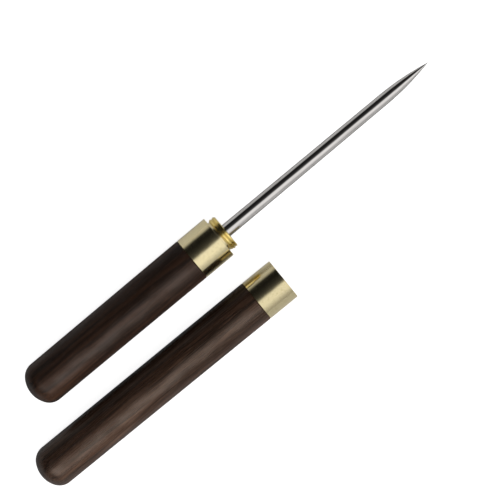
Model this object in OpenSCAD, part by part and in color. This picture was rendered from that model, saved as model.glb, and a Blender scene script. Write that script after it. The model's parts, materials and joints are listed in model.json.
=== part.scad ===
// Scratch awl for leather work, with a wooden screw cap lying beside it.
//
// +X runs along the awl's own axis towards the needle's point, +Z is up, and the
// origin is on that axis at the shoulder, the front face of the handle's ferrule,
// which the cap's mouth seats on when the tool is closed.  The cap lies on the same
// bench, level with the awl, with its mouth pointing the same way as the needle.

/* [Handle] */
// Length of wood seen behind the ferrule, with the domed butt
grip_len = 67.4; // [45:0.1:100]
// Diameter of the wood at the butt
butt_d = 14.7; // [14.2:0.05:15.4]
// Diameter of the ferrule, and of the wood where it meets it
band_d = 15.1; // [15:0.05:15.8]
// Radius of the two domed ends
dome_r = 8.8; // [8:0.1:20]
// Radius of the arc that runs from each dome into the wood's side
edge_r = 5.3; // [1:0.1:6.5]

/* [Ferrules] */
// Length of each brass ferrule
band_len = 11.3; // [8:0.1:16]
// Diameter of the tenon and the brass bush inside the handle's ferrule
seat_d = 13.2; // [12.8:0.05:13.4]
// Chamfer on the ferrules' front edges
band_chamfer = 0.25; // [0.1:0.05:0.4]

/* [Threaded neck] */
// Diameter over the thread's crests
thread_d = 12.2; // [11.8:0.05:12.4]
// Depth of the thread
thread_depth = 0.3; // [0.2:0.05:0.4]
// Depth below the crests of the plain groove between the shoulder and the thread
relief_depth = 0.5; // [0.45:0.05:0.6]
// Distance from one turn to the next
pitch = 1.2; // [1.1:0.05:1.25]
// How far the neck stands out of the shoulder
neck_len = 3.05; // [3:0.05:4]
// Distance from the shoulder to the first crest
first_crest = 1.05; // [0.7:0.05:1.2]
// Thickness of the flange inside the ferrule
flange_t = 2.6; // [1.5:0.1:4]
// Diameter of the shank that goes into the wood
shank_d = 8; // [7:0.1:10]
// Length of the shank behind the flange
shank_len = 17.4; // [12:0.1:30]

/* [Needle] */
// Diameter where it leaves the neck
needle_d = 4.5; // [3:0.05:5]
// Diameter where the point begins
front_d = 4; // [2:0.05:4.5]
// Length from the shoulder to the point
needle_out = 87.9; // [50:0.05:88.5]
// Length of the curved point
ogive_len = 19.3; // [8:0.1:30]

/* [Cap] */
// Whole length of the cap
cap_len = 100.5; // [100:0.1:120]
// Diameter of the cap's wood at its domed end
tail_d = 14.4; // [14:0.05:15]
// Diameter of the cap's ferrule, and of the wood where it meets it
cap_band_d = 14.65; // [14.6:0.05:15.2]
// Diameter of the bush and the tenon inside the cap's ferrule
cap_seat_d = 13.3; // [13:0.05:13.6]
// Length of the threaded bush
bush_len = 4.6; // [4.3:0.1:7]
// Gap between the neck's thread and the bush's
thread_gap = 0.08; // [0.05:0.01:0.1]
// Diameter of the hole for the needle
bore_d = 7; // [6.4:0.1:8]
// Depth of that hole from the cap's mouth
bore_depth = 91; // [90:0.1:93]
// Diameter of the leather disc's pocket in the bottom of the hole
pocket_d = 6; // [5:0.1:6.2]
// Thickness of the leather disc, which fills its pocket
pad_t = 2; // [1:0.1:2.4]
// Gap around the leather disc
pad_gap = 0.05; // [0.02:0.01:0.1]

/* [Lie] */
// Place of the cap's mouth along the awl
mouth_x = 7.35; // [0:0.05:20]
// Place of the cap's mouth beside the awl
mouth_y = -23.7; // [-40:0.05:-20]
// How far the cap's mouth turns away from the awl, in degrees
lie_angle = 0.6; // [0:0.1:2]

/* [Hidden] */
$fn = 72;

wood_colour = [0.14, 0.1, 0.08];
cap_wood_colour = [0.2, 0.13, 0.1];
brass_colour = [0.84, 0.74, 0.5];
thread_colour = [0.86, 0.66, 0.28];
steel_colour = [0.62, 0.62, 0.63];
leather_colour = [0.6, 0.4, 0.24];

band_r = band_d / 2;
seat_r = seat_d / 2;
thread_r = thread_d / 2;
root_r = thread_r - thread_depth;
relief_r = thread_r - relief_depth;
shank_r = shank_d / 2;
needle_r = needle_d / 2;
front_r = front_d / 2;
cap_seat_r = cap_seat_d / 2;
bore_r = bore_d / 2;
pocket_r = pocket_d / 2;

// Stations along the axis, from the shoulder on the awl and from the mouth on the cap
butt_x = -band_len - grip_len;
shank_x = -flange_t - shank_len;
ogive_x = needle_out - ogive_len;
cap_z = (cap_band_d - band_d) / 2;

// How far profiles that are one solid run into each other, and cuts run past a face
lap = 1;
// The same for the thread's ridges, which stand on a surface that shows
sliver = 0.01;

// The thread's turns are rings with flat crests and slanting flanks
neck_turns = 2;
bush_turns = 3;
crest_w = 0.37;
flank_angle = 30;
neck_chamfer = 0.25;
mouth_lead = 0.35;

// The groove by the shoulder ends a little before the first ridge's foot
land = 0.1;
relief_x = first_crest - crest_w / 2 - thread_depth * tan(flank_angle) - land;

// Glue grooves round the shank
groove_count = 4;
groove_w = 1.2;
groove_depth = 0.3;
groove_step = 3.6;
glue_gap = 0.5;

// The point is an arc that leaves the needle's side without a corner
ogive_steps = 24;
ogive_arc_r = (front_r * front_r + ogive_len * ogive_len) / (2 * front_r);
function ogive_radius(x) = sqrt(pow(ogive_arc_r, 2) - pow(x - ogive_x, 2)) + front_r - ogive_arc_r;

// A profile drawn with its radius along X and its station along Y, turned about the X axis
module turned() {
    rotate([0, 90, 0]) rotate_extrude() children();
}

// Puts a cap piece, modelled with its mouth at the origin and open towards +X, in its place
module lay_cap() {
    translate([mouth_x, mouth_y, cap_z]) rotate([0, 0, -lie_angle]) children();
}

// A wooden body from its domed end to the seam: an arc leads from the dome into the
// side, which widens a little from end_r to seam_r
module domed_profile(end_x, end_r, seam_x, seam_r) {
    dome_x = end_x + dome_r;
    arc_y = end_r - edge_r;
    arc_x = dome_x - sqrt(pow(dome_r - edge_r, 2) - arc_y * arc_y);
    meet_x = dome_x + (arc_x - dome_x) * dome_r / (dome_r - edge_r);
    intersection() {
        polygon([[0, end_x], [end_r, end_x], [end_r, arc_x], [seam_r, seam_x], [0, seam_x]]);
        union() {
            translate([0, dome_x]) circle(dome_r);
            translate([0, dome_x]) square([dome_r, seam_x - dome_x]);
        }
        union() {
            translate([0, end_x]) square([end_r, meet_x - end_x]);
            translate([0, end_x]) square([arc_y, seam_x - end_x]);
            translate([arc_y, arc_x]) circle(edge_r);
            translate([0, arc_x]) square([dome_r, seam_x - arc_x]);
        }
    }
}

// A ferrule from its seam to the front face at station 0, with the front edges broken
module band_profile(outer_r, inner_r) {
    polygon([[inner_r, -band_len], [outer_r, -band_len], [outer_r, -band_chamfer],
             [outer_r - band_chamfer, 0], [inner_r, 0]]);
}

// One turn of thread: its crest at crest_r, its foot sunk a little into what it stands on
module ridge_profile(foot_r, crest_r, x) {
    half_foot = crest_w / 2 + abs(crest_r - foot_r) * tan(flank_angle);
    polygon([[foot_r, x - half_foot], [crest_r, x - crest_w / 2],
             [crest_r, x + crest_w / 2], [foot_r, x + half_foot]]);
}

module handle() {
    color(wood_colour) turned() difference() {
        union() {
            domed_profile(butt_x, butt_d / 2, -band_len, band_r);
            translate([0, -band_len - lap]) square([seat_r, band_len - flange_t + lap]);
        }
        translate([0, shank_x - glue_gap]) square([shank_r, shank_len + glue_gap]);
    }
}

module handle_ferrule() {
    color(brass_colour) turned() band_profile(band_r, seat_r);
}

// Flange, threaded neck and shank in one piece, bored through for the needle
module spigot() {
    color(thread_colour) turned() difference() {
        union() {
            translate([0, -flange_t]) square([seat_r, flange_t]);
            polygon([[0, -flange_t], [relief_r, -flange_t], [relief_r, relief_x],
                     [root_r, relief_x], [root_r, neck_len - neck_chamfer],
                     [root_r - neck_chamfer, neck_len], [0, neck_len]]);
            for (i = [0 : neck_turns - 1])
                ridge_profile(root_r - sliver, thread_r, first_crest + i * pitch);
            translate([0, shank_x]) square([shank_r, shank_len]);
        }
        for (i = [1 : groove_count])
            translate([shank_r - groove_depth, -flange_t - i * groove_step])
                square([2 * groove_depth, groove_w]);
        translate([0, shank_x - lap]) square([needle_r, neck_len - shank_x + 2 * lap]);
    }
}

module needle() {
    point = [for (i = [0 : ogive_steps])
        let (x = ogive_x + ogive_len * i / ogive_steps) [max(ogive_radius(x), 0), x]];
    color(steel_colour) turned()
        polygon(concat([[0, shank_x], [needle_r, shank_x], [needle_r, neck_len]], point));
}

module cap_sheath() {
    color(cap_wood_colour) lay_cap() turned() difference() {
        union() {
            domed_profile(-cap_len, tail_d / 2, -band_len, cap_band_d / 2);
            translate([0, -band_len - lap]) square([cap_seat_r, band_len - bush_len + lap]);
        }
        translate([0, -bore_depth]) square([bore_r, bore_depth]);
        translate([0, -bore_depth - pad_t]) square([pocket_r, pad_t + lap]);
    }
}

module cap_ferrule() {
    color(brass_colour) lay_cap() turned() band_profile(cap_band_d / 2, cap_seat_r);
}

// Threaded bush flush with the mouth: its crests clear the neck's root by the thread gap
module cap_bush() {
    inner_r = root_r + thread_gap;
    color(thread_colour) lay_cap() turned() difference() {
        translate([inner_r, -bush_len]) square([cap_seat_r - inner_r, bush_len]);
        for (i = [0 : bush_turns - 1])
            ridge_profile(inner_r - sliver, thread_r + thread_gap, -first_crest - i * pitch);
        polygon([[inner_r - sliver, -mouth_lead], [inner_r - sliver, sliver],
                 [inner_r + mouth_lead, sliver]]);
    }
}

module tip_pad() {
    color(leather_colour) lay_cap() turned()
        translate([0, -bore_depth - pad_t]) square([pocket_r - pad_gap, pad_t]);
}

handle();
handle_ferrule();
spigot();
needle();
cap_sheath();
cap_ferrule();
cap_bush();
tip_pad();
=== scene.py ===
"""Looks of the scratch awl: turned wood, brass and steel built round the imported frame.

Every piece is turned round an axis: the awl's own, which is the row's X axis, or the cap's,
which the frame gives as the axis of the joint cap_screw.  A piece is modelled in millimetres
along +X in that axis's own frame and laid in its place in the row frame, in metres.
"""

import json
import math

import bpy
from mathutils import Matrix, Vector


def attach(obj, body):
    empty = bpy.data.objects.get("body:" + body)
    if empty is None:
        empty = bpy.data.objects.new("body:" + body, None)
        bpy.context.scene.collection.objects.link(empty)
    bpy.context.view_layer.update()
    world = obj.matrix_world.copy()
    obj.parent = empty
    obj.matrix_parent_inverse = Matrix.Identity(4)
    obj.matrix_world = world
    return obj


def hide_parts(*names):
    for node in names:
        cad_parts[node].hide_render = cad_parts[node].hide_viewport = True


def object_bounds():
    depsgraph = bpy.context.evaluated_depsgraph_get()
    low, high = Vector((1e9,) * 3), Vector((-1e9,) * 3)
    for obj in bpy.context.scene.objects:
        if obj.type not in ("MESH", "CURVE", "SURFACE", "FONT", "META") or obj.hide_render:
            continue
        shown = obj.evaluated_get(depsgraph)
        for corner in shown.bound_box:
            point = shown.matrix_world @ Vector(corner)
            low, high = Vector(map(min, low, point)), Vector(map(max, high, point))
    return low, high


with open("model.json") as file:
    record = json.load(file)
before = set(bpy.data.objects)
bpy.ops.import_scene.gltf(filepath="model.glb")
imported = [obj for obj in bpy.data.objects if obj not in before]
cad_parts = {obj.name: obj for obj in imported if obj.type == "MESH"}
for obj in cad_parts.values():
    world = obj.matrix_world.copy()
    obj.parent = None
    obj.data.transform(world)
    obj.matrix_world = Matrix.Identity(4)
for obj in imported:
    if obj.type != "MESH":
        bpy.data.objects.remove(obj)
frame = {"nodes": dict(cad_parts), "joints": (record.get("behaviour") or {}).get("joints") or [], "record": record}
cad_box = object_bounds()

MM = 0.001
TAU = 2 * math.pi
JOINTS = {joint["name"]: joint for joint in frame["joints"]}
MOUNTS = {mount["name"]: mount for mount in frame["record"]["mounts"]}

# ---------------------------------------------------------------- sizes in millimetres

DOME_RADIUS = 8.8  # of both rounded ends
EDGE_RADIUS = 5.3  # of the arc that leads from a dome into the side
BUTT_RADIUS = 7.35  # of the handle's wood, where its dome begins
TAIL_RADIUS = 7.2  # of the cap's wood, where its dome begins
SEAM_BREAK = 0.18  # the small bevel on each side of a wood and brass seam
RIM_ROUND = 0.12  # rounding on the ferrules' front edges
SHANK_RADIUS = 4.0  # of the part of the neck that is let into the wood
FLANGE = 2.6  # thickness of the neck's flange inside the ferrule
GLUE_GAP = 0.5  # behind the shank
NECK_BEVEL = 0.22  # how far the bevel at the neck's end cuts below the thread's root
BEVEL_SLOPE = 1.6  # of that bevel, in radius over length
COUNTERSINK = 0.2  # round the needle in the neck's face
BUSH_LEAD = 0.35  # the bevel inside the cap's mouth
POCKET_RADIUS = 3.0  # of the leather disc's pocket
PAD_LIFT = 0.02  # keeps the disc's back off the pocket's floor
PAD_BACK_EDGE = 0.3  # rounding of the disc's edges
PAD_FRONT_EDGE = 0.5
PAD_DISH = 0.1  # how far the disc's face is hollowed by the point

PITCH = 1.2  # from one turn of the thread to the next
THREAD_DEPTH = 0.3
RELIEF_DEPTH = 0.5  # of the plain groove by the shoulder, below the crests
CREST_SHARE = 0.4  # of the pitch, flat on top of the thread
ROOT_SHARE = 0.14  # of the pitch, flat between the turns
FIRST_CREST = 1.1  # where the crest crosses the side turned to +Y
RELIEF_END = (0.5, 0.75)  # where the groove by the shoulder rises to the thread's root
THREAD_START = (0.6, 0.95)  # where the thread grows to its full depth

NEEDLE_FRONT_RADIUS = 2.0  # where the curved point begins
OGIVE = 19.3  # length of the curved point
POINT_RADIUS = 0.06  # of its blunted tip

SEGMENTS = 192  # round every piece
THREAD_STEP = 0.05  # between the rings of a threaded surface
SHAFT_STEP = 4  # between those of the needle's shaft
OGIVE_STEP = 0.5  # and of its point
SHARP_EDGE = 40  # degrees from which an edge is shaded as sharp


# ---------------------------------------------------------------- places

def axis_place(point, axis):
    """The matrix that lays a piece modelled along +X, in millimetres, on an axis of the frame."""
    along = Vector(axis).normalized()
    side = Vector((0, 0, 1)).cross(along).normalized()
    up = along.cross(side)
    turn = Matrix((along, side, up)).transposed().to_4x4()
    return Matrix.Translation(Vector(point)) @ turn @ Matrix.Scale(MM, 4)


AWL = axis_place((0, 0, 0), (1, 0, 0))
CAP = axis_place(JOINTS["cap_screw"]["pos_m"], JOINTS["cap_screw"]["axis"])


def turned_box(node, place):
    """(first station, last station, outer radius) of a CAD node along its own axis."""
    inverse = place.inverted()
    points = [inverse @ v.co for v in frame["nodes"][node].data.vertices]
    stations = [p.x for p in points]
    return min(stations), max(stations), max(math.hypot(p.y, p.z) for p in points)


# ---------------------------------------------------------------- turning

def arc(centre_x, centre_r, radius, start, end, steps):
    """Points on a circle in the (station, radius) plane, from one angle in degrees to another."""
    angles = [math.radians(start + (end - start) * i / steps) for i in range(steps + 1)]
    return [(centre_x + radius * math.cos(a), centre_r + radius * math.sin(a)) for a in angles]


def spread(a, b, step):
    """Stations from a to b, both included, no further apart than step."""
    count = max(1, math.ceil(abs(b - a) / step))
    return [a + (b - a) * i / count for i in range(count + 1)]


def turn_piece(name, place, rings, body, node, slot, closed=False, material=None):
    """A mesh turned from rings, each a (station, radius) pair or a (station, radius function) pair.

    A radius of 0 is a pole.  The rings run so that the piece is on their right, in a drawing with
    the stations to the right and the radii upwards, and a closed piece joins its last ring to its
    first.  The mesh stands for a CAD node and rides on its body, and it keeps its own coordinates,
    in millimetres, in the attribute local_mm that the materials read.
    """
    points, faces, starts = [], [], []
    for station, radius in rings:
        starts.append(len(points))
        if not callable(radius) and radius == 0:
            points.append(Vector((station, 0, 0)))
            continue
        for i in range(SEGMENTS):
            angle = TAU * i / SEGMENTS
            r = radius(station, angle) if callable(radius) else radius
            points.append(Vector((station, r * math.cos(angle), r * math.sin(angle))))
    sizes = [b - a for a, b in zip(starts, starts[1:] + [len(points)])]
    pairs = list(zip(range(len(rings)), range(1, len(rings))))
    if closed:
        pairs.append((len(rings) - 1, 0))
    for one, two in pairs:
        for i in range(SEGMENTS):
            j = (i + 1) % SEGMENTS
            a, b = starts[one], starts[two]
            if sizes[one] == 1:
                faces.append((a, b + j, b + i))
            elif sizes[two] == 1:
                faces.append((a + i, a + j, b))
            else:
                faces.append((a + i, a + j, b + j, b + i))
    mesh = bpy.data.meshes.new(name)
    mesh.from_pydata([place @ p for p in points], [], faces)
    local = mesh.attributes.new("local_mm", "FLOAT_VECTOR", "POINT")
    local.data.foreach_set("vector", [c for p in points for c in p])
    mesh.validate()
    mesh.shade_smooth()
    mesh.set_sharp_from_angle(angle=math.radians(SHARP_EDGE))
    piece = bpy.data.objects.new(name, mesh)
    bpy.context.scene.collection.objects.link(piece)
    mesh.materials.append(MATERIALS[material or slot])
    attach(piece, body)
    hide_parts(node)


# ---------------------------------------------------------------- material nodes

class Tree:
    """Short calls for building a node tree."""

    def __init__(self, tree):
        self.tree = tree

    def add(self, kind, **inputs):
        node = self.tree.nodes.new(kind)
        for key, value in inputs.items():
            self.feed(node.inputs[key], value)
        return node

    def feed(self, socket, value):
        if isinstance(value, bpy.types.NodeSocket):
            self.tree.links.new(value, socket)
        else:
            socket.default_value = value

    def math(self, operation, a, b):
        node = self.add("ShaderNodeMath")
        node.operation = operation
        self.feed(node.inputs[0], a)
        self.feed(node.inputs[1], b)
        return node.outputs[0]

    def between(self, value, low, high, to_low=0.0, to_high=1.0):
        """A smooth step from to_low, up to the value low, to to_high, from the value high on."""
        node = self.add("ShaderNodeMapRange")
        node.interpolation_type = "SMOOTHSTEP"
        for key, number in (("Value", value), ("From Min", low), ("From Max", high),
                            ("To Min", to_low), ("To Max", to_high)):
            self.feed(node.inputs[key], number)
        return node.outputs["Result"]


class Nodes(Tree):
    """A material and its node tree, round the Principled shader that a new material has."""

    def __init__(self, name):
        self.material = bpy.data.materials.new(name)
        self.material.use_nodes = True
        super().__init__(self.material.node_tree)
        self.shader = self.tree.nodes["Principled BSDF"]

    def local(self):
        """The coordinates of the piece, in millimetres along and across its axis."""
        node = self.add("ShaderNodeAttribute")
        node.attribute_name = "local_mm"
        return node.outputs["Vector"]

    def stretched(self, along, across):
        """The same coordinates, scaled along the axis and across it."""
        node = self.add("ShaderNodeVectorMath")
        node.operation = "MULTIPLY"
        self.feed(node.inputs[0], self.local())
        node.inputs[1].default_value = (along, across, across)
        return node.outputs[0]

    def station(self):
        """The place along the piece's axis, in millimetres."""
        node = self.add("ShaderNodeSeparateXYZ")
        self.feed(node.inputs[0], self.local())
        return node.outputs["X"]

    def radius(self):
        """The distance from the piece's axis, in millimetres."""
        node = self.add("ShaderNodeVectorMath")
        node.operation = "LENGTH"
        self.feed(node.inputs[0], self.stretched(0.0, 1.0))
        return node.outputs["Value"]

    def facing(self):
        """How far the surface turns away from the eye, for gloss alone: 0 to 1 at the rim."""
        return self.add("ShaderNodeLayerWeight", Blend=0.5).outputs["Facing"]

    def noise(self, vector, scale=1.0, detail=2.0, roughness=0.5, distortion=0.0):
        node = self.add("ShaderNodeTexNoise", Scale=scale, Detail=detail,
                        Roughness=roughness, Distortion=distortion)
        self.feed(node.inputs["Vector"], vector)
        return node.outputs["Fac"]

    def mix(self, share, a, b):
        node = self.add("ShaderNodeMix")
        node.data_type = "RGBA"
        self.feed(node.inputs["Factor"], share)
        self.feed(node.inputs["A"], a)
        self.feed(node.inputs["B"], b)
        return node.outputs["Result"]

    def bump(self, height, distance_mm, strength=1.0, under=None):
        node = self.add("ShaderNodeBump", Strength=strength, Distance=distance_mm * MM)
        self.feed(node.inputs["Height"], height)
        if under is not None:
            self.feed(node.inputs["Normal"], under)
        return node.outputs["Normal"]

    def finish(self, **inputs):
        for key, value in inputs.items():
            self.feed(self.shader.inputs[key.replace("_", " ")], value)
        return self.material


def colour(red, green, blue):
    return (red, green, blue, 1.0)


PORE_BLACK = colour(0.004, 0.003, 0.003)
PALE_BRASS = colour(0.84, 0.73, 0.44)
GOLDEN_BRASS = colour(0.97, 0.79, 0.3)
DEEP_BRASS = colour(0.8, 0.57, 0.17)
# painted shade: the dark brown that the neck's thread is given down in its grooves, where shade falls
GROOVE_PAINTED_SHADE = colour(0.3, 0.17, 0.045)


def dark_wood(name, black, brown, streak, streaks, gloss, shine, wax):
    """Dense, waxed dark wood: broad figure, fine fibres and short pores along the grain.

    shine is the wax's gloss seen square on and seen aslant.  It is stronger near the domed ends,
    where the hand polishes it, and it dies away at the rim.
    """
    n = Nodes(name)
    figure = n.noise(n.stretched(0.018, 0.5), detail=4.0, distortion=0.8)
    fibres = n.noise(n.stretched(0.1, 2.6), detail=4.0, roughness=0.65)
    fine = n.noise(n.stretched(0.5, 14.0), detail=2.0)
    pores = n.between(n.noise(n.stretched(0.8, 10.0), detail=1.0), 0.66, 0.74)
    body = n.mix(n.between(figure, 0.38, 0.62), black, brown)
    lit = n.mix(n.between(fibres, 0.5, 0.74, 0.0, streaks), body, streak)
    shaded = n.mix(n.math("MULTIPLY", n.between(fine, 0.3, 0.7), 0.35), lit, black)
    final = n.mix(n.math("MULTIPLY", pores, 0.8), shaded, PORE_BLACK)
    grain = n.math("ADD", n.math("MULTIPLY", fibres, 0.5), n.math("MULTIPLY", fine, 0.3))
    relief = n.math("SUBTRACT", grain, pores)
    waver = n.noise(n.stretched(0.11, 0.22), detail=2.0)
    patch = n.between(n.noise(n.stretched(0.09, 0.3), detail=3.0), 0.35, 0.65, 0.7, 1.3)
    polish = n.between(n.station(), -85.0, -35.0, 1.25, 0.92)
    facing = n.facing()
    sheen = n.math("MULTIPLY", n.between(facing, 0.04, 0.24, shine[0], shine[1]),
                   n.between(facing, 0.0, 0.05, 0.78, 1.0))
    rim = n.between(facing, 0.4, 0.8, 1.0, 0.1)
    return n.finish(
        Base_Color=final,
        Roughness=n.between(fibres, 0.3, 0.7, gloss, gloss + 0.1),
        IOR=1.6,
        Specular_IOR_Level=n.math("MULTIPLY", n.math("MULTIPLY", sheen, rim),
                                  n.math("MULTIPLY", polish, patch)),
        Specular_Tint=wax,
        Normal=n.bump(relief, 0.02, 0.7, under=n.bump(waver, 0.25, 0.5)),
    )


def turned_brass(name, tint, shade, gloss):
    """Lathe-turned brass: fine rings round the axis, a slow waver in the polish, faint tarnish.

    gloss is the roughness where it is cleanest.
    """
    n = Nodes(name)
    rings = n.noise(n.stretched(22.0, 0.05), detail=3.0, roughness=0.7)
    waver = n.noise(n.stretched(0.2, 0.35), detail=1.0)
    tarnish = n.noise(n.stretched(1.1, 1.1), detail=4.0, roughness=0.6)
    handled = n.between(tarnish, 0.45, 0.8, 0.0, 0.5)
    normal = n.bump(rings, 0.004, 0.6, under=n.bump(waver, 0.08, 0.4))
    return n.finish(
        Base_Color=n.mix(handled, tint, shade),
        Metallic=1.0,
        Roughness=n.between(tarnish, 0.3, 0.75, gloss, gloss + 0.08),
        Normal=normal,
    )


def neck_brass(name, crest, gloss):
    """Brass: pale by the shoulder and golden on the thread's crests, with painted shade that darkens its grooves
    towards brown.
    """
    n = Nodes(name)
    rings = n.noise(n.stretched(18.0, 0.05), detail=3.0, roughness=0.7)
    worn = n.noise(n.stretched(1.4, 1.4), detail=4.0, roughness=0.6)
    cut = n.between(n.station(), 0.5, 1.0)
    # painted shade: the colour turns dark brown below the thread's crests, down in its grooves
    low = n.between(n.radius(), crest - THREAD_DEPTH, crest - 0.4 * THREAD_DEPTH, 0.32, 0.0)
    thread = n.mix(n.between(worn, 0.42, 0.75, 0.0, 0.7), GOLDEN_BRASS, DEEP_BRASS)
    tint = n.mix(cut, PALE_BRASS, n.mix(low, thread, GROOVE_PAINTED_SHADE))
    return n.finish(
        Base_Color=tint,
        Metallic=1.0,
        Roughness=n.between(worn, 0.3, 0.75, gloss, gloss + 0.1),
        Normal=n.bump(rings, 0.004, 0.6),
    )


def drawn_steel(name):
    """Needle steel, polished lengthwise, with faint streaks and a few fine scratches."""
    n = Nodes(name)
    drawn = n.noise(n.stretched(0.08, 5.0), detail=3.0, roughness=0.6)
    scratches = n.between(n.noise(n.stretched(0.5, 20.0), detail=2.0), 0.62, 0.7)
    normal = n.bump(n.math("SUBTRACT", drawn, n.math("MULTIPLY", scratches, 0.4)), 0.006, 0.6)
    return n.finish(
        Base_Color=n.mix(n.between(drawn, 0.35, 0.7), colour(0.77, 0.745, 0.72),
                         colour(0.6, 0.58, 0.56)),
        Metallic=1.0,
        Specular_Tint=colour(0.1, 0.1, 0.1),
        Roughness=n.between(drawn, 0.3, 0.7, 0.08, 0.15),
        Normal=normal,
    )


def soft_leather(name):
    """The leather disc: a matt, fibrous brown."""
    n = Nodes(name)
    fibres = n.noise(n.stretched(2.5, 2.5), detail=5.0, roughness=0.7)
    return n.finish(
        Base_Color=n.mix(n.between(fibres, 0.3, 0.7), colour(0.3, 0.16, 0.08),
                         colour(0.42, 0.25, 0.13)),
        Roughness=0.85,
        Normal=n.bump(fibres, 0.15),
    )


MATERIALS = {
    "handle_wood": dark_wood("handle_wood", colour(0.008, 0.0048, 0.0035),
                             colour(0.026, 0.0125, 0.0075), colour(0.062, 0.033, 0.021),
                             streaks=0.45, gloss=0.28, shine=(0.41, 0.1),
                             wax=colour(1.0, 0.86, 0.78)),
    "cap_wood": dark_wood("cap_wood", colour(0.0115, 0.0064, 0.0042),
                          colour(0.032, 0.0162, 0.0098), colour(0.08, 0.043, 0.027),
                          streaks=0.55, gloss=0.24, shine=(0.67, 0.17),
                          wax=colour(1.0, 0.81, 0.68)),
    "ferrule_brass": turned_brass("ferrule_brass", PALE_BRASS, colour(0.7, 0.58, 0.31), 0.13),
    "cap_ferrule_brass": turned_brass("cap_ferrule_brass", colour(0.76, 0.66, 0.4),
                                      colour(0.6, 0.49, 0.26), 0.13),
    "neck_brass": neck_brass("neck_brass", MOUNTS["spigot_neck"]["dims"]["r_mm"], 0.14),
    "thread_brass": turned_brass("thread_brass", GOLDEN_BRASS, DEEP_BRASS, 0.16),
    "needle_steel": drawn_steel("needle_steel"),
    "pad_leather": soft_leather("pad_leather"),
}


# ---------------------------------------------------------------- the awl

def domed_body(end_x, end_r, seam_x, seam_r, seat_r):
    """The wood's outside, from its pole over the dome, the edge arc and the side to the tenon."""
    dome_x = end_x + DOME_RADIUS
    arc_r = end_r - EDGE_RADIUS
    arc_x = dome_x - math.sqrt((DOME_RADIUS - EDGE_RADIUS) ** 2 - arc_r ** 2)
    meet = math.degrees(math.atan2(arc_r, arc_x - dome_x))
    profile = arc(dome_x, 0, DOME_RADIUS, 180, meet, 24)
    profile[0] = (end_x, 0)
    profile += arc(arc_x, arc_r, EDGE_RADIUS, meet, 90, 14)[1:]
    profile += [(seam_x - SEAM_BREAK, seam_r), (seam_x, seam_r - SEAM_BREAK), (seam_x, seat_r)]
    return profile


def handle_wood():
    butt, front, radius = turned_box("handle", AWL)
    seam, _, _ = turned_box("handle_ferrule", AWL)
    shank, _, seat = turned_box("spigot", AWL)
    rings = domed_body(butt, BUTT_RADIUS, seam, radius, seat)
    rings += [(front, seat), (front, SHANK_RADIUS), (shank - GLUE_GAP, SHANK_RADIUS),
              (shank - GLUE_GAP, 0)]
    turn_piece("handle_wood", AWL, rings, "awl", "handle", "handle_wood")


def band(name, place, node, core, slot, body):
    """A ferrule round a core node: a tube with a bevel at its seam and a rounded front rim."""
    seam, front, radius = turned_box(node, place)
    _, _, seat = turned_box(core, place)
    rings = [(seam, seat), (seam, radius - SEAM_BREAK), (seam + SEAM_BREAK, radius)]
    rings += arc(front - RIM_ROUND, radius - RIM_ROUND, RIM_ROUND, 90, 0, 6)
    rings += [(front, seat)]
    turn_piece(name, place, rings, body, node, slot, closed=True)


def ridge(station, angle, crest_at):
    """How much of the thread's depth stands at a place, from 0 at the root to 1 on the crest."""
    phase = ((station - crest_at) / PITCH - angle / TAU + 0.5) % 1 - 0.5
    flank = (1 - CREST_SHARE - ROOT_SHARE) / 2
    rise = (CREST_SHARE / 2 + flank - abs(phase)) / flank
    rise = min(max(rise, 0.0), 1.0)
    return rise * rise * (3 - 2 * rise)


def ramp(value, start, end):
    """0 up to start, 1 from end on, and straight between them."""
    return min(max((value - start) / (end - start), 0.0), 1.0)


def neck_radius(crest, end):
    """The neck's surface: a groove by the shoulder, then the thread, bevelled at the end."""
    root = crest - THREAD_DEPTH

    def radius(station, angle):
        ground = root + (THREAD_DEPTH - RELIEF_DEPTH) * (1 - ramp(station, *RELIEF_END))
        grown = ramp(station, *THREAD_START)
        full = ground + THREAD_DEPTH * grown * ridge(station, angle, FIRST_CREST)
        bevel = root - NECK_BEVEL / 2 + (end - station) * BEVEL_SLOPE
        return min(full, bevel)
    return radius


def threaded_neck():
    shank, end, seat = turned_box("spigot", AWL)
    _, _, needle = turned_box("needle", AWL)
    surface = neck_radius(MOUNTS["spigot_neck"]["dims"]["r_mm"], end)
    rings = [(end - COUNTERSINK, needle), (end, needle + COUNTERSINK)]
    rings += [(x, surface) for x in spread(end, 0, THREAD_STEP)]
    rings += [(0, seat), (-FLANGE, seat), (-FLANGE, SHANK_RADIUS), (shank, SHANK_RADIUS),
              (shank, needle)]
    turn_piece("threaded_neck", AWL, rings[::-1], "awl", "spigot", "thread_brass", closed=True,
               material="neck_brass")


def steel_needle():
    start, tip, radius = turned_box("needle", AWL)
    _, neck, _ = turned_box("spigot", AWL)
    ogive_x = tip - OGIVE
    front = NEEDLE_FRONT_RADIUS
    rings = [(start, 0), (start, radius), (neck, radius)]
    for x in spread(neck, ogive_x, SHAFT_STEP)[1:]:
        rings.append((x, radius + (front - radius) * (x - neck) / (ogive_x - neck)))
    swing = (front * front + OGIVE * OGIVE) / (2 * front)
    for x in spread(ogive_x, tip, OGIVE_STEP)[1:-1]:
        rings.append((x, math.sqrt(swing ** 2 - (x - ogive_x) ** 2) + front - swing))
    rings += [(tip - POINT_RADIUS / 3, POINT_RADIUS / 2), (tip, 0)]
    turn_piece("steel_needle", AWL, rings, "awl", "needle", "needle_steel")


# ---------------------------------------------------------------- the cap

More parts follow.
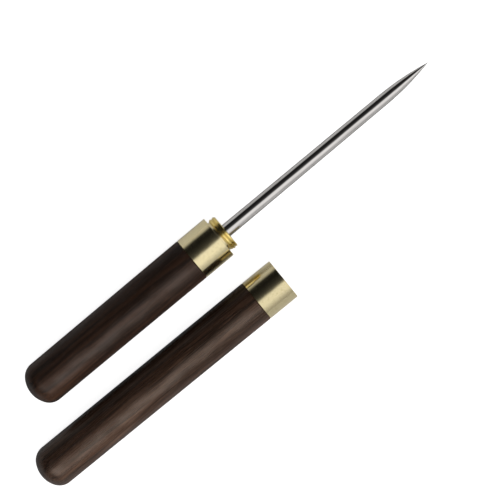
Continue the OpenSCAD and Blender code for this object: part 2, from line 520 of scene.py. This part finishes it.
def cap_wood():
    tail, front, radius = turned_box("cap_sheath", CAP)
    seam, _, _ = turned_box("cap_ferrule", CAP)
    _, _, seat = turned_box("cap_bush", CAP)
    pad_start, pad_end, _ = turned_box("tip_pad", CAP)
    bore = MOUNTS["needle_bore"]["dims"]["r_mm"]
    rings = domed_body(tail, TAIL_RADIUS, seam, radius, seat)
    rings += [(front, seat), (front, bore), (pad_end, bore), (pad_end, POCKET_RADIUS),
              (pad_start, POCKET_RADIUS), (pad_start, 0)]
    turn_piece("cap_wood", CAP, rings, "cap", "cap_sheath", "cap_wood")


def bush_thread():
    start, mouth, seat = turned_box("cap_bush", CAP)
    crest = MOUNTS["cap_mouth"]["dims"]["r_mm"]

    def surface(station, angle):
        cut = crest + THREAD_DEPTH * ridge(station, -angle, -FIRST_CREST)
        return max(cut, crest + BUSH_LEAD + station - mouth)

    rings = [(start, crest)]
    rings += [(x, surface) for x in spread(start + THREAD_STEP, mouth, THREAD_STEP)]
    rings += [(mouth, seat), (start, seat)]
    turn_piece("bush_thread", CAP, rings[::-1], "cap", "cap_bush", "thread_brass", closed=True)


def leather_pad():
    start, end, radius = turned_box("tip_pad", CAP)
    start += PAD_LIFT
    rings = [(start, 0), (start, radius - PAD_BACK_EDGE)]
    rings += arc(start + PAD_BACK_EDGE, radius - PAD_BACK_EDGE, PAD_BACK_EDGE, 180, 90, 4)[1:]
    rings += arc(end - PAD_FRONT_EDGE, radius - PAD_FRONT_EDGE, PAD_FRONT_EDGE, 90, 0, 5)
    rings += [(end - PAD_DISH, 0)]
    turn_piece("leather_pad", CAP, rings, "cap_floor", "tip_pad", "pad_leather")


# ---------------------------------------------------------------- stage, light and camera

# The light that comes from each direction round the awl: (degrees from straight up towards -Y,
# strength) pairs
STUDIO_BANDS = [
    (-90, 0.6), (-78, 0.53), (-71, 0.32), (-66, 0.08),  # a pale wall, low on the awl's side
    (-60, 0.012), (-40, 0.011), (-30, 0.017), (-20, 0.025), (-10, 0.042),  # the dark above it
    (-2, 0.08), (4, 0.15), (7, 0.32), (10, 0.62), (13, 0.87),  # the light's soft edge
    (17, 1.0), (46, 1.0), (54, 0.9), (63, 0.75), (70, 0.62), (77, 0.5), (90, 0.44),  # the light
]


def world_light(bands, ends):
    """Soft studio light whose brightness depends on the angle round the row's X axis.

    bands are (degrees from straight up towards -Y, strength) pairs, and ends is the share of the
    light that is left where the room is seen along the X axis.
    """
    world = bpy.data.worlds.new("studio")
    bpy.context.scene.world = world
    world.use_nodes = True
    t = Tree(world.node_tree)
    parts = t.add("ShaderNodeSeparateXYZ")
    t.feed(parts.inputs[0], t.add("ShaderNodeTexCoord").outputs["Generated"])
    minus_y = t.math("MULTIPLY", parts.outputs["Y"], -1.0)
    angle = t.math("ARCTAN2", minus_y, parts.outputs["Z"])
    shades = t.add("ShaderNodeValToRGB", Fac=t.math("ADD", t.math("DIVIDE", angle, TAU), 0.5))
    stops = shades.color_ramp.elements
    while len(stops) < len(bands):
        stops.new(0.5)
    for stop, (degrees, strength) in zip(stops, bands):
        stop.position = degrees / 360 + 0.5
        stop.color = (strength, strength, strength, 1)
    along = t.math("ABSOLUTE", parts.outputs["X"], 0.0)
    background = t.tree.nodes["Background"]
    t.feed(background.inputs["Color"], shades.outputs["Color"])
    t.feed(background.inputs["Strength"], t.between(along, 0.55, 0.95, 1.0, ends))


def pale_floor(level, half, albedo, glow):
    """A plain floor that looks white when seen directly, and only lit when it is mirrored."""
    mesh = bpy.data.meshes.new("floor")
    corners = [(-half, -half), (half, -half), (half, half), (-half, half)]
    mesh.from_pydata([(x, y, level) for x, y in corners], [], [(0, 1, 2, 3)])
    floor = bpy.data.objects.new("floor", mesh)
    bpy.context.scene.collection.objects.link(floor)
    n = Nodes("pale_floor")
    seen = n.add("ShaderNodeLightPath").outputs["Is Camera Ray"]
    mesh.materials.append(n.finish(
        Base_Color=colour(albedo, albedo, albedo),
        Roughness=0.9,
        Specular_IOR_Level=0.1,
        Emission_Color=colour(1, 1, 1),
        Emission_Strength=n.math("MULTIPLY", seen, glow),
    ))
    return floor


def soft_lamp(name, angle, distance, size, power, floor, lights_floor):
    """A lamp as large as a soft box, angle degrees from straight up towards -Y.

    It lights either the floor alone or everything else, and no metal mirrors it.
    """
    data = bpy.data.lights.new(name, "AREA")
    data.shape = "RECTANGLE"
    data.size, data.size_y = size
    data.energy = power
    lamp = bpy.data.objects.new(name, data)
    swing = math.radians(angle)
    lamp.location = (0, -distance * math.sin(swing), distance * math.cos(swing))
    lamp.rotation_euler = (swing, 0, 0)
    lamp.visible_glossy = False
    bpy.context.scene.collection.objects.link(lamp)
    share = bpy.data.collections.new(name + "_light")
    share.objects.link(floor)
    state = "INCLUDE" if lights_floor else "EXCLUDE"
    share.collection_objects[0].light_linking.link_state = state
    lamp.light_linking.receiver_collection = share


def photo_camera(centre, width, height, roll):
    """A long lens straight above, over a point of the row frame, that takes in a given width."""
    data = bpy.data.cameras.new("camera")
    data.sensor_width = 36.0
    data.lens = data.sensor_width * height / width
    data.clip_start, data.clip_end = 0.01, 20.0
    camera = bpy.data.objects.new("camera", data)
    camera.location = (centre[0], centre[1], height)
    camera.rotation_euler = (0, 0, -math.radians(roll))
    bpy.context.scene.collection.objects.link(camera)
    bpy.context.scene.camera = camera


# ---------------------------------------------------------------- the scene

handle_wood()
band("handle_band", AWL, "handle_ferrule", "spigot", "ferrule_brass", "awl")
threaded_neck()
steel_needle()
cap_wood()
band("cap_band", CAP, "cap_ferrule", "cap_bush", "cap_ferrule_brass", "cap")
bush_thread()
leather_pad()

photo_camera(centre=(0.004975, -0.00969), width=0.161, height=1.0, roll=39.835)
floor = pale_floor(level=cad_box[0].z, half=4.0, albedo=0.8, glow=0.8)
world_light(STUDIO_BANDS, ends=0.5)
soft_lamp("key", angle=66, distance=0.8, size=(0.9, 0.5), power=16.5, floor=floor,
          lights_floor=False)
soft_lamp("back", angle=-78, distance=0.8, size=(0.9, 0.25), power=2.6, floor=floor,
          lights_floor=False)
soft_lamp("overhead", angle=0, distance=1.2, size=(2.0, 2.0), power=8.0, floor=floor,
          lights_floor=True)
bpy.context.scene.view_settings.view_transform = "Standard"
